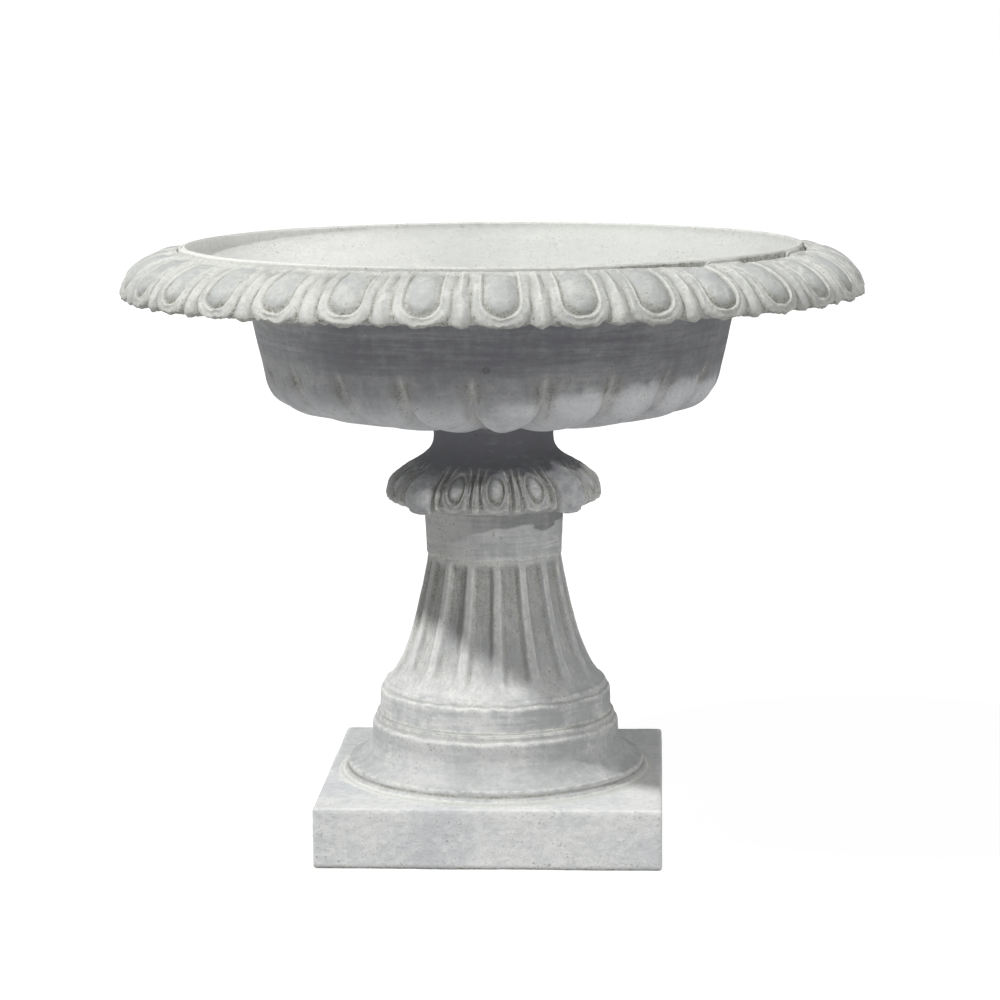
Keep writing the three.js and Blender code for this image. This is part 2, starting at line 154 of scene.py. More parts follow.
def readAll(items, name, wide, kind=float):  # a row for each vertex or edge
    values = np.zeros(len(items) * wide, kind)
    items.foreach_get(name, values)
    return values.reshape(-1, wide)


def readMark(piece, name):
    return readAll(piece.data.attributes[name].data, "value", 1, np.float32)[:, 0].astype(float)


def places(piece):
    return readAll(piece.data.vertices, "co", 3) / mm


def moveTo(piece, co):
    piece.data.vertices.foreach_set("co", (co * mm).ravel())
    piece.data.update()


def radiusAt(co):
    return np.hypot(co[:, 0], co[:, 1])


def drawOutline(name, outline, closed=True, **marks):  # one vertex, extruded along the outline in the plane y = 0
    startPiece()
    bpy.ops.mesh.primitive_plane_add(size=mm, location=(0, 0, 0))
    piece = bpy.context.object
    piece.name = name
    goTo("EDIT")
    bpy.ops.mesh.select_all(action="SELECT")
    bpy.ops.mesh.merge(type="CENTER")
    points = [Vector((radius, 0, height)) * mm for radius, height in outline]
    bpy.ops.transform.translate(value=points[0])
    for before, after in zip(points, points[1:]):
        bpy.ops.mesh.extrude_vertices_move(TRANSFORM_OT_translate={"value": after - before})
    goTo("OBJECT")
    if closed:
        for vertex in piece.data.vertices:
            vertex.select = vertex.index in (0, len(outline) - 1)
        goTo("EDIT")
        bpy.ops.mesh.edge_face_add()
        goTo("OBJECT")
    for label, values in marks.items():
        mark(piece, label, values)
    return piece


def spinPiece(piece, angle, steps, copies=False):
    openUp(piece)
    bpy.ops.mesh.spin(steps=steps, angle=angle, dupli=copies, center=(0, 0, 0), axis=(0, 0, 1))
    goTo("OBJECT")


def spinRound(piece, steps):
    spinPiece(piece, fullTurn, steps)
    closeUp(piece)
    return piece


def copyRound(piece, count):  # the finished repeat is copied round the axis and its seams are merged
    spinPiece(piece, fullTurn * (count - 1) / count, count - 1, copies=True)
    closeUp(piece)


def addBlock(name, sides, centre):
    startPiece()
    bpy.ops.mesh.primitive_cube_add(size=1, location=[place * mm for place in centre])
    piece = bpy.context.object
    piece.name = name
    piece.scale = [side * mm for side in sides]
    turnTo(piece, 0)
    return piece


def addObject(name, data):
    thing = bpy.data.objects.new(name, data)
    bpy.context.scene.collection.objects.link(thing)
    return thing


def addRound(radius, low, high, sides):
    startPiece()
    middle = (0, 0, (low + high) / 2 * mm)
    bpy.ops.mesh.primitive_cylinder_add(vertices=sides, radius=radius * mm, depth=(high - low) * mm, location=middle)
    return bpy.context.object


def cutHole(piece, radius, low, high, sides=32):
    hole = addRound(radius, low - 2, high + 2, sides)
    applyModifier(piece, "BOOLEAN", operation="DIFFERENCE", solver="EXACT", object=hole)
    bpy.data.objects.remove(hole)


def bevelSharp(piece, width, segments=2):
    angle = radians(40)
    applyModifier(piece, "BEVEL", width=width * mm, segments=segments, limit_method="ANGLE", angle_limit=angle)


def roughen(piece, steps):  # hand-finished, weathered unevenness: the size of the lumps and how far they stand
    for k, (size, height) in enumerate(steps):
        lumps = bpy.data.textures.new(f"{piece.name}Lumps{k}", "CLOUDS")
        lumps.noise_scale = size * mm
        lumps.noise_depth = 2
        lumps.noise_basis = "ORIGINAL_PERLIN"
        applyModifier(piece, "DISPLACE", texture=lumps, texture_coords="LOCAL", mid_level=0.5, strength=height * mm)


def wear(piece, low, high, size, reach):  # the band between two heights wanders up and down
    co = places(piece)
    share = np.clip(1 - np.abs(2 * co[:, 2] - low - high) / (high - low), 0, 1)
    for k in np.nonzero(share > 0)[0]:
        spot = Vector(co[k]) / size
        spot.z *= 0.4
        co[k, 2] += reach * softStep(share[k], 0, 0.8) * noise.fractal(spot, 0.8, 2.1, 3)
    moveTo(piece, co)


def markCurves(piece):  # hollow and ridge: how sharply the surface bends in or out, spread over a few mm
    first, second = readAll(piece.data.edges, "vertices", 2, np.int32).T
    normals = readAll(piece.data.vertices, "normal", 3)
    co = places(piece)
    gap = co[second] - co[first]
    size = (gap ** 2).sum(1) + 0.01
    total = len(co)
    bend = np.bincount(first, 2 * (gap * normals[first]).sum(1) / size, total)
    bend += np.bincount(second, -2 * (gap * normals[second]).sum(1) / size, total)
    count = np.maximum(np.bincount(first, minlength=total) + np.bincount(second, minlength=total), 1)
    bend /= count
    for step in range(3):
        near = np.bincount(first, bend[second], total) + np.bincount(second, bend[first], total)
        bend = 0.4 * bend + 0.6 * near / count
    # the hollows are darkened in the finishes: dirt and painted shade
    mark(piece, "hollow", softStep(bend, 0.02, 0.2))
    mark(piece, "ridge", softStep(-bend, 0.04, 0.22))


def placePiece(piece, slot, material, node):
    if slot not in ("steel", "rubber"):
        markCurves(piece)
    takeUp(piece)
    bpy.ops.object.shade_smooth_by_angle(angle=radians(42))
    piece.data.materials.clear()
    piece.data.materials.append(material)
    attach(piece, "root")
    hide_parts(node)
    triangles = sum(len(polygon.vertices) - 2 for polygon in piece.data.polygons)
    print(piece.name, "finished,", triangles, "triangles")


# tools for the ornament: a repeat is spun from an outline and then carved, vertex by vertex

def lengthsOf(line):  # how far along the line each of its points lies
    return np.concatenate([[0], np.cumsum(np.hypot(*np.diff(line, axis=0).T))])


def joinOutline(lead, face, tail):  # a face to carve between plain parts, lengths along it, and its own length
    along = lengthsOf(lead[:-1] + face + tail[1:])
    along -= along[len(lead) - 1]
    return lead[:-1] + face + tail[1:], along, along[len(lead) + len(face) - 2]


def carveRepeat(piece, at, line, outer, heightAt, edgeAt=None, hem=0.01):
    # line is the face's outline and outer its length; edgeAt shortens it, and the hem below the edge follows
    pitch = fullTurn / at["count"]
    spinPiece(piece, pitch, at["columns"])
    co = places(piece)
    along = readMark(piece, "along")
    radius = radiusAt(co)
    angle = np.arctan2(co[:, 1], co[:, 0])
    middle = (angle.min() + angle.max()) / 2
    across = (angle - middle) / pitch
    if "columnShares" in at:  # from the middle out, where columns were and the fine mouldings they move to
        across = np.sign(across) * np.interp(np.abs(across), *at["columnShares"])
    angle = middle + across * pitch
    line = np.array(line)
    lengths = lengthsOf(line)
    last = (line[-1] - line[-2]) / np.hypot(*(line[-1] - line[-2]))

    def carvedAt(s):  # radius, height and marks on the face, moved straight out of it or in
        over = np.maximum(s - lengths[-1], 0)
        r, z = (np.interp(s, lengths, side) + over * beyond for side, beyond in zip(line.T, last))
        dr, dz = (np.interp(s + 1.5, lengths, side) - np.interp(s - 1.5, lengths, side) for side in line.T)
        size = np.hypot(dr, dz) + 1e-9
        height, marks = heightAt(across, s, r)
        return r - height * (dz / size), z + height * (dr / size), marks

    edge = edgeAt(across) if edgeAt else np.full_like(across, outer)
    onFace = (along >= 0) & (along <= outer + 1e-4)
    faceRadius, faceHeight, marks = carvedAt(np.where(onFace, along / outer * edge, 0))
    edgeRadius, edgeHeight, edgeMarks = carvedAt(edge)
    below = along - outer
    fade = np.where((below > 1e-4) & (below < hem), 1 - softStep(below, 0, hem), 0)
    radius = np.where(onFace, faceRadius, radius) + fade * (edgeRadius - line[-1, 0])
    co[:, 0] = radius * np.cos(angle)
    co[:, 1] = radius * np.sin(angle)
    co[:, 2] = np.where(onFace, faceHeight, co[:, 2]) + fade * (edgeHeight - line[-1, 1])
    moveTo(piece, co)
    for name in marks:
        mark(piece, name, np.where(onFace, marks[name], fade * edgeMarks[name]))
    turnTo(piece, radians(at["phase"] - 90) - middle)


eggSettings = {  # the husk in section, beside and under the egg: shares of its width, and heights
    "side": ([0, 0.08, 0.25, 0.42, 0.74, 0.9, 1.1, 9], [-3.3, -3.3, -1.1, -2.1, -1.9, -1.5, -4, -4.3]),
    "under": ([0, 0.05, 0.2, 0.34, 0.64, 1, 1.12, 9], [-3.4, -3.4, -1, -1.9, -0.9, -2.2, -4.2, -4.4]),
    "eggDeep": 3.3, "eggRound": 2.3, "tongueLow": 0.9, "tongueDeep": 3.4, "tongueRound": 2.2, "spine": (0.5, 0.9),
    # where dirt and painted shade lie in the grooves and below, and lime with a painted highlight on the husk's two
    # beads
    "grooves": ((0.3, 0.9), (1.12, 0.13)), "dirtAndShadeDepths": (2.7, 4.2), "beads": ((0.24, 0.08), (0.88, 0.1)),
}


def eggAndTongue(at, length):
    # an egg in a U-shaped husk, with half a tongue at each side of the repeat; scale shrinks the mouldings
    cut = eggSettings
    pitch = fullTurn / at["count"]
    scale = at["scale"]
    bead = at["huskWidth"]
    foot = at["huskBottom"]
    edgeRadius = at["edge"][0]
    edgeHalf = at["eggHalfShare"] * pitch * edgeRadius
    eggEnd = length - at["hang"] - foot * scale

    def heightAt(across, s, r):
        x = across * pitch * r
        half = at["eggHalfShare"] * pitch * r
        if at["oval"]:
            centre = (at["eggTop"] + eggEnd) / 2
            tall = centre - at["eggTop"]
            far = np.hypot(x / half, (s - centre) / tall)
            down = np.maximum(s - centre, 0) / tall / (far + 1e-9)
            outside = eggOutside = (far - 1) * half
        else:  # the egg's sides run straight up, and its top is cut off softly
            below = np.maximum(s - eggEnd + edgeHalf, 0)
            far = np.hypot(x, below)
            down = below / (far + 1e-9)
            outside = far - half
            top = (at["eggTop"] - s) * 0.9
            eggOutside = np.where(top > outside - 2, np.logaddexp(outside, top), outside)
        weight = softStep(down, 0.1, 1)
        reach = outside / (scale * (bead + (foot - bead) * weight))
        husk = easedProfile(*cut["side"], reach) * (1 - weight) + easedProfile(*cut["under"], reach) * weight
        egg = -cut["eggDeep"] * np.clip(1 + eggOutside / half, 0, 1.2) ** cut["eggRound"]
        inEgg = eggOutside < 0
        height = np.where(inEgg, np.maximum(egg, -3.4), np.where(outside < 0, -cut["eggDeep"], husk))

        share = np.clip(s / length, 0, 1)
        toTongue = np.maximum(0.5 - np.abs(across), 0) * pitch * r
        wide = (at["tongueTop"] + (at["tongueEnd"] - at["tongueTop"]) * share ** 1.5) * scale
        spine, spineWide = cut["spine"]
        tongue = spine * hump(toTongue, 0, spineWide * scale) - cut["tongueLow"] * (1 + softStep(share, 0.86, 1))
        tongue -= cut["tongueDeep"] * (toTongue / wide) ** cut["tongueRound"]
        onTongue = tongue > height
        onHusk = ~inEgg & ~onTongue
        start = softStep(s, at["topStart"], at["topEnd"])
        height = np.where(onTongue, tongue, height) * (0.25 + 0.75 * start) * start ** 0.3

        besideEgg, besideHusk = cut["grooves"]
        groove = hump(outside / scale, *besideEgg) + hump(reach, *besideHusk)
        grimeAndShade = softStep(-height, *cut["dirtAndShadeDepths"]) + 0.9 * groove * ~onTongue
        grimeAndShade *= 0.45 + 0.55 * softStep(share, 0.45, 0.95)
        grimeAndShade += 0.75 * softStep(share, 0.78, 1)
        # darker round the egg's edge in its lower part
        grimeAndShade += 0.95 * inEgg * softStep(outside / half, -0.55, -0.05) * softStep(share, 0.5, 0.75)
        inner, outer = cut["beads"]
        crest = (0.75 * hump(reach, *inner) + 0.45 * hump(reach, *outer)) * onHusk
        crest += 0.5 * onTongue * hump(toTongue, 0, 0.45 * wide)
        marks = {"grimeAndShade": np.clip(grimeAndShade, 0, 1) * start, "crest": np.clip(crest, 0, 1),
                 "panel": softStep(-eggOutside / scale, 0.6, 3.5)}
        return height * at["relief"], marks

    def edgeAt(across):  # scalloped: round under each husk, with the tongue's tip between
        aside = across * pitch * edgeRadius / (edgeHalf + bead * scale)
        husk = eggEnd - edgeHalf + (edgeHalf + foot * scale) * np.sqrt(np.clip(1 - aside ** 2, 0, 1))
        toTongue = (0.5 - np.abs(across)) * pitch * edgeRadius
        tongue = length - at["tongueLift"] - 4.5 * scale * (toTongue / (at["tongueEnd"] * scale)) ** 4
        return np.clip(np.maximum(husk, tongue), length - at["notch"], length)

    return heightAt, edgeAt


# rim: a ring of eggs and tongues, carved in one repeat and copied round

rimSettings = {
    "count": 32, "phase": 4.4, "columns": 34, "spacing": 1.9, "fineSpacing": 1.15, "fineFrom": 33,
    "columnShares": ((0, 0.176, 0.353, 0.5), (0, 0.188, 0.3, 0.5)),
    "inner": 251.8, "top": 480.9, "arris": 1.5, "outer": 300, "widest": 445.4, "fullShares": [(0.53, 0), (1, 0.47)],
    "edge": (297.3, 440.9), "underEdge": (291, 443.9), "drip": (286, 445.6), "soffit": (282, 446.9),
    "hook": 269.5, "seat": 461.5,
    "eggHalfShare": 0.216, "huskWidth": 8.6, "huskBottom": 12.5, "scale": 1, "relief": 1.15, "hang": 0.6, "notch": 3.4,
    "eggTop": 5, "topStart": -1, "topEnd": 9, "oval": False, "tongueTop": 3.4, "tongueEnd": 9.2, "tongueLift": 1.9,
    "softened": 2, "lumps": [(60, 1.1), (14, 1.1), (6, 0.6)], "edgeWear": (434, 456, 7, 1.8),
    "chipDepth": 1.8, "chipReach": 8, "chipSide": (110, 190), "chipHeights": (470, 478),
}
# the crack behind the rim: where it is open at each side, as angles from the front in radians, and its gaps
crackSettings = {"right": (0.15, 0.5, 2.2, 2.6), "left": (1.7, 2, 2.6, 2.9), "beats": (13, 29), "open": (-0.6, 0.3)}


def washedOut(co):  # where the crack has lost its mortar
    at = crackSettings
    angle = np.arctan2(co[:, 0], -co[:, 1])
    gaps = np.sin(angle * at["beats"][0] + 0.6) + 0.8 * np.sin(angle * at["beats"][1])
    return softStep(gaps, *at["open"]) * np.maximum(plateau(angle, *at["right"]), plateau(-angle, *at["left"]))


def makeRim():
    at = rimSettings
    start = (at["inner"] + at["arris"], at["top"])
    face = curvedLine(start, (at["outer"], at["widest"]), at["fullShares"], 60) + [at["edge"]]
    lead = filleted([(at["inner"], at["seat"]), (at["inner"], at["top"] - at["arris"]), start], 6)
    under = [at["drip"], (*at["soffit"], 2), (at["hook"], at["soffit"][1], 1), (at["hook"], at["seat"]), lead[0]]
    tail = runOn(([at["edge"], at["underEdge"], at["drip"]], 2.5), (under, 5))
    dense = runOn((face[:at["fineFrom"] + 1], at["spacing"]), (face[at["fineFrom"]:], at["fineSpacing"]))
    outline, along, length = joinOutline(lead, dense, tail[:-1])
    piece = drawOutline("rim", outline, along=along)
    carveRepeat(piece, at, dense, length, *eggAndTongue(at, length), hem=10)
    copyRound(piece, at["count"])
    applyModifier(piece, "SMOOTH", factor=0.5, iterations=at["softened"])
    wear(piece, *at["edgeWear"])
    roughen(piece, at["lumps"])
    co = places(piece)
    nearLip = 1 - softStep(radiusAt(co), start[0], at["inner"] + at["chipReach"])
    broken = washedOut(co) * softStep(co[:, 0], *at["chipSide"]) * softStep(co[:, 2], *at["chipHeights"])
    co[:, 2] -= at["chipDepth"] * broken * nearLip
    moveTo(piece, co)
    return piece


# bowl: gadroons under a plain wall, a shoulder that carries the rim, a lip, and the inside down to the drain

bowlSettings = {
    "count": 21, "phase": 6.8, "columns": 22, "spacing": 2.4, "depth": 12.5, "crown": 1.4,
    "lip": [(246.5, 483.4), (248, 483.4), (249.5, 481.9), (249.5, 459.9, 1), (268, 459.9, 1), (268, 450.9, 1),
            (222, 450.9)],
    "wallTop": (195.6, 431.9), "shoulderShares": [(0.57, 0), (0.9, 0.33)],
    "lobeStart": (190.2, 406.4), "corner": (184.4, 381.2), "cornerShares": [(0.11, 0.68), (0.4, 0.86)],
    "turn": (148, 351.4), "bellyShares": [(0.35, 0.67), (0.68, 1)], "boss": (56.5, 340.9),
    "drain": [(29.5, 340.9), (29.5, 328.9), (21.5, 328.9), (21.5, 359.9, 2), (131, 359.9)],
    "basin": (177.5, 397.9), "basinShares": [(0.55, 0), (0.88, 0.33)], "lipInside": (245, 481.9),
    "innerWall": (180, 431.9), "mouth": (245, 479.4), "mouthShares": [(0.13, 0.59), (0.87, 0.59)],
    # the painted shade under the rim: its heights, and the radius it keeps within
    "lipPoints": 4, "bossPoints": 3, "shelter": (376, 412, 452, 462), "paintedShadeWithin": 262,
    "lumps": [(80, 1.4), (22, 0.7), (8, 0.25)],
}


def makeBowl():
    at = bowlSettings
    shoulder = curvedLine(at["lip"][-1], at["wallTop"], at["shoulderShares"], 16)
    lead = runOn((at["lip"], 5), (shoulder, 3), ([at["wallTop"], at["lobeStart"]], 3))
    face = [at["lobeStart"]] + curvedLine(at["corner"], at["turn"], at["cornerShares"], 40)
    face += curvedLine(at["turn"], at["boss"], at["bellyShares"], 40)[1:]
    dense = filleted(face, at["spacing"])
    basin = curvedLine(at["drain"][-1], at["basin"], at["basinShares"], 14)
    mouth = curvedLine(at["innerWall"], at["mouth"], at["mouthShares"], 20)
    tail = runOn(([at["boss"]] + at["drain"], 9), (basin, 4), ([at["basin"], at["innerWall"]], 5), (mouth, 4))
    outline, along, length = joinOutline(lead, dense, tail + [at["lipInside"]])
    radii, heights = np.array(outline).T
    order = np.arange(len(outline))
    inside = (order > len(lead) + len(dense) + at["bossPoints"]) | (order < at["lipPoints"])
    lobes = softStep(along / length, 0.05, 0.3) * (along < length + 1)
    # painted shade: the wall under the rim's overhang is darkened, where the rim's shadow falls
    sheltered = plateau(heights, *at["shelter"]) * (radii < at["paintedShadeWithin"])
    brushed = np.where(inside, 0.5, 1 - softStep(along / length, 0.02, 0.15))
    piece = drawOutline("gadroonedBowl", outline, along=along, limed=inside, washed=lobes * ~inside,
                        sheltered=sheltered * ~inside, brushed=brushed)

    def heightAt(across, s, r):
        share = s / length
        u = np.abs(across) * 2  # 0 on a lobe's crown, 1 in the crease beside it
        deep = softStep(share, 0.03 + 0.06 * (1 - u), 0.29) * (1 - 0.75 * softStep(share, 0.72, 1))
        fall = 0.62 * u ** 2 + 0.38 * u ** 7
        start = softStep(share, 0.05, 0.14)
        # dirt with painted shade beside each crease and at its top, and chalk with a painted highlight along its edge
        smudge = hump(share, 0.14, 0.06) * softStep(u, 0.45, 0.85) * (1 - 0.6 * softStep(u, 0.9, 0.97))
        marks = {
            "grimeAndShade": 0.7 * smudge + 0.4 * hump(u, 0.82, 0.07) * start * (1 - softStep(share, 0.3, 0.5)),
            "crest": np.clip(1.5 * softStep(u, 0.87, 0.98) * start, 0, 1),
        }
        return (at["crown"] - at["depth"] * fall) * deep, marks

    carveRepeat(piece, at, dense, length, heightAt)
    copyRound(piece, at["count"])
    co = places(piece)
    lip = (np.abs(radiusAt(co) - at["lip"][2][0]) < 0.6) & (co[:, 2] > 470)
    mark(piece, "grimeAndShade", np.where(lip, washedOut(co), readMark(piece, "grimeAndShade")))
    roughen(piece, at["lumps"])
    return piece


# shaft: plain cuff, flutes that run out above a ring, and a plain band

shaftSettings = {
    "count": 16, "phase": 16.4, "columns": 30, "spacing": 1.7, "depth": 3.7, "channelHalfShare": 0.36,
    "bore": [(29.5, 99.7), (29.5, 87.7), (21.5, 87.7), (21.5, 254.2), (30.2, 254.2), (30.2, 268.2), (57, 268.2)],
    "cuff": [(57, 268.2), (55.2, 236, 6), (55.4, 231.6, 1.6), (54.2, 230.2, 1), (54.2, 229.7)],
    "flareEnd": (88.3, 125.7), "flareShares": [(0.19, 0.37), (0.5, 0.83)],
    "base": [(88.3, 125.7), (90.6, 124.6, 2), (91.8, 122, 2), (91.6, 120, 1.6), (94.2, 118.6, 1.8), (95.3, 99.7, 1.2),
             (29.5, 99.7)],
    "lumps": [(50, 1.2), (12, 0.7), (5, 0.3)], "cuffWear": (222, 238, 9, 2.4), "ringWear": (113, 127, 13, 1),
    "rubbedEdges": ((230.5, 0.8), (121, 0.64)), "boreWithin": 40,
}


def makeShaft():
    at = shaftSettings
    lead = runOn((at["bore"], 24), (at["cuff"], 2.2))
    dense = filleted(curvedLine(at["cuff"][-1], at["flareEnd"], at["flareShares"], 60), at["spacing"])
    tail = filleted(at["base"], 1.6)
    # few points on the flat underside
    tail = [point for point in tail if point[0] > 95 or point[1] > 99.8 or round(point[0]) % 12 == 0]
    outline, along, length = joinOutline(lead, dense, tail)
    piece = drawOutline("shaft", outline, along=along, brushed=1)

    def heightAt(across, s, r):
        share = s / length
        narrowed = np.clip((share - 0.84) / 0.15, 0, 1)
        half = at["channelHalfShare"] * (0.45 + 0.55 * np.sqrt(1 - narrowed ** 2))
        u = np.abs(across) / half  # 0 in the middle of a flute, 1 at its edge
        hollow = 1 - softStep(u, 0.62, 1.16)
        deep = softStep(s, 0.8, 6.5) * (1 - softStep(share, 0.8, 0.985))
        # dirt and painted shade in the channels, darkest near the top
        marks = {
            "grimeAndShade": deep * hollow * (0.68 - 0.5 * share) + 0.3 * deep * hump(u, 0.8, 0.2),
            "crest": 0.5 * np.maximum(deep * softStep(u, 1, 1.2), softStep(share, 0.62, 0.97)),
            "fluted": softStep(s, 0, 5) * (1 - softStep(share, 0.93, 1)),
        }
        return -at["depth"] * deep * hollow, marks

    carveRepeat(piece, at, dense, length, heightAt)
    copyRound(piece, at["count"])
    co = places(piece)
    edges = sum(strength * hump(co[:, 2], height, 3) for height, strength in at["rubbedEdges"])
    mark(piece, "crest", np.maximum(readMark(piece, "crest"), edges * (radiusAt(co) > at["boreWithin"])))
    wear(piece, *at["cuffWear"])
    wear(piece, *at["ringWear"])
    roughen(piece, at["lumps"])
    return piece


# collar: a narrow neck over a skirt of small eggs, with a plain leaf in the place of every fourth egg

collarSettings = {
    "count": 16, "phase": 4.1, "columns": 34, "spacing": 1, "leafEvery": 4, "leafOffset": 2,
    "columnShares": ((0, 0.147, 0.353, 0.5), (0, 0.165, 0.32, 0.5)),
    "bore": [(29.5, 269.8), (29.5, 257.8), (21.5, 257.8), (21.5, 325.3), (30.2, 325.3), (30.2, 339.3), (52, 339.3)],
    "waist": (48.6, 326.9), "capShares": [(0.67, 0.28), (1, 0.61)], "neckShares": [(0, 0.4), (0.33, 0.73)],
    "top": (62, 308.3), "edge": (87.4, 274.8), "skirtShares": [(0.75, 0.25), (1.22, 0.55)],
    "under": [(78.7, 273.2, 1), (64, 274.3, 1), (57, 269.8), (29.5, 269.8)],
    "eggHalfShare": 0.19, "huskWidth": 9.4, "huskBottom": 13, "scale": 0.6, "relief": 0.95, "hang": 1.2, "notch": 3.4,
    "eggTop": 11, "topStart": 1, "topEnd": 11, "oval": True, "tongueTop": 3, "tongueEnd": 7.4, "tongueLift": 1.6,
    "strands": 11, "strandHeight": 0.7, "leafSwell": 6.2, "leafSink": 4.2, "leafHang": 3.4,
    "lumps": [(40, 1.3), (9, 1.3), (4, 0.8)],
}


def makeCollar():
    at = collarSettings
    cap = curvedLine(at["bore"][-1], at["waist"], at["capShares"], 10)
    neck = curvedLine(at["waist"], at["top"], at["neckShares"], 12)
    lead = runOn((at["bore"], 12), (cap, 1.6), (neck, 1.6))
    dense = filleted(curvedLine(at["top"], at["edge"], at["skirtShares"], 50), at["spacing"])
    outline, along, length = joinOutline(lead, dense, filleted([at["edge"]] + at["under"], 3))
    heights = np.array(outline)[:, 1]
    eggHeight, edgeAt = eggAndTongue(at, length)

    def ropedHeight(across, s, r):  # fine strands run down beside each egg, and the scalloped edge is rubbed pale
        height, marks = eggHeight(across, s, r)
        strands = np.cos(np.abs(across) * fullTurn * at["strands"]) * softStep(np.abs(across), 0.27, 0.33)
        strands = strands * softStep(s, 8, 18)
        rubbed = softStep(s / length, 0.84, 0.96)
        marks["crest"] = np.clip(marks["crest"] * 0.6 + 0.5 * softStep(strands, 0.3, 1) + 0.7 * rubbed, 0, 1)
        around = 0.5 * (1 - marks["panel"]) * softStep(s, 8, 16)
        grimeAndShade = np.clip(marks["grimeAndShade"] + around + 0.7 * softStep(-strands, 0.1, 1), 0, 1)
        marks["grimeAndShade"] = grimeAndShade * (1 - 0.85 * rubbed)
        return height + at["strandHeight"] * strands, marks

    def leafHeight(across, s, r):  # a plain lobe, as long as the skirt, that swells past its edge
        u = np.abs(across) * 2
        share = np.clip(s / length, 0, 1)
        swell = at["leafSwell"] * softStep(share, 0.1, 0.7) * (1 - 0.5 * softStep(share, 0.8, 1))
        fall = np.where(u < 0.7, 0.55 * (u / 0.7) ** 2.4, 0.55 + 0.45 * softStep(u, 0.7, 0.84))
        height = swell - (swell + at["leafSink"] * softStep(share, 0.05, 0.3)) * fall
        marks = {
            "grimeAndShade": 0.8 * hump(u, 0.82, 0.06) * softStep(share, 0.1, 0.3),
            "crest": 0.5 * hump(u, 0.92, 0.06) + 0.3 * hump(u, 0.7, 0.06),
            "panel": np.zeros_like(u),
        }
        seam = softStep(u, 0.86, 1)  # runs into its neighbours at the seams
        eggSide, eggMarks = ropedHeight(np.full_like(across, 0.5), s, r)
        marks = {name: marks[name] * (1 - seam) + eggMarks[name] * seam for name in marks}
        return height * (1 - seam) + eggSide * seam, marks

    def leafEdge(across):
        side = edgeAt(np.full_like(across, 0.5))
        tip = np.clip(1 - (np.abs(across) * 2) ** 2.4, 0, 1) ** 0.85
        return side + (length + at["leafHang"] - side) * tip

    repeats = []
    for name, heightAt, lowerEdge in (("egg", ropedHeight, edgeAt), ("collar", leafHeight, leafEdge)):
        # painted shade: the neck under the bowl is darkened
        piece = drawOutline(name, outline, along=along, sheltered=1.5 * softStep(heights, 292, 312),
                            brushed=softStep(heights, 295, 310))
        carveRepeat(piece, at, dense, length, heightAt, lowerEdge, hem=9)
        repeats.append(piece)
    egg, collar = repeats
    pitch = fullTurn / at["count"]
    turnTo(collar, pitch * at["leafOffset"])
    group = [collar]
    for place in range(at["leafEvery"]):
        if place != at["leafOffset"]:
            copy = addObject("egg", egg.data.copy())
            turnTo(copy, pitch * place)
            group.append(copy)
    takeUp(collar)
    for member in group:
        member.select_set(True)
    bpy.ops.object.join()
    bpy.data.objects.remove(egg)
    copyRound(collar, at["count"] // at["leafEvery"])
    roughen(collar, at["lumps"])
    return collar


# foot: fillets, waist, hollow curve and nose, spun in one

footSettings = {
    "steps": 200,
    "bore": [(29.5, 50.6), (29.5, 38.6), (21.5, 38.6), (21.5, 84.1), (30.2, 84.1), (30.2, 98.1)],
    "waist": [(30.2, 98.1), (98, 98.1, 1.6), (98.2, 94, 1.6), (101.1, 91.9, 2.2), (101.3, 81.1)],
    "cove": (121.5, 59.1), "coveShares": [(0, 0.5), (0.5, 0.875)],
    "nose": [(121.5, 59.1), (122.2, 57, 1.6), (122, 54.6, 2), (124.3, 52.6, 2), (125.5, 50.6), (29.5, 50.6)],
    "lumps": [(60, 1.2), (14, 0.7), (5, 0.25)], "waistWear": (86, 98, 15, 1.2),
    "spacing": 1.8, "flat": (31, 96), "limeHeight": 92.5, "limeWide": 2, "limeFrom": 90,
}


def makeFoot():
    at = footSettings
    cove = curvedLine(at["waist"][-1], at["cove"], at["coveShares"], 24)
    outline = runOn((at["bore"], 14), (at["waist"], at["spacing"]), (cove, 1.7), (at["nose"], at["spacing"]))
    low, high = at["flat"]  # few points on the flat top and underside
    outline = [point for point in outline[:-1] if not (low < point[0] < high and round(point[0] / at["spacing"]) % 6)]
    piece = spinRound(drawOutline("foot", outline), at["steps"])
    co = places(piece)
    lime = 0.45 * hump(co[:, 2], at["limeHeight"], at["limeWide"])
    mark(piece, "crest", lime * (radiusAt(co) > at["limeFrom"]))
    mark(piece, "brushed", 0.7)
    wear(piece, *at["waistWear"])
    roughen(piece, at["lumps"])
    return piece


# plinth: a square block, hollow underneath, its edges worn round

plinthSettings = {
    "side": 275, "height": 49, "recess": 207, "deck": 22, "socket": 30.2, "socketSides": 64, "bevel": 1.4, "grain": 1.9,
    "lumps": [(70, 1.2), (14, 0.6), (5, 0.3)], "damp": (1, 4),
}


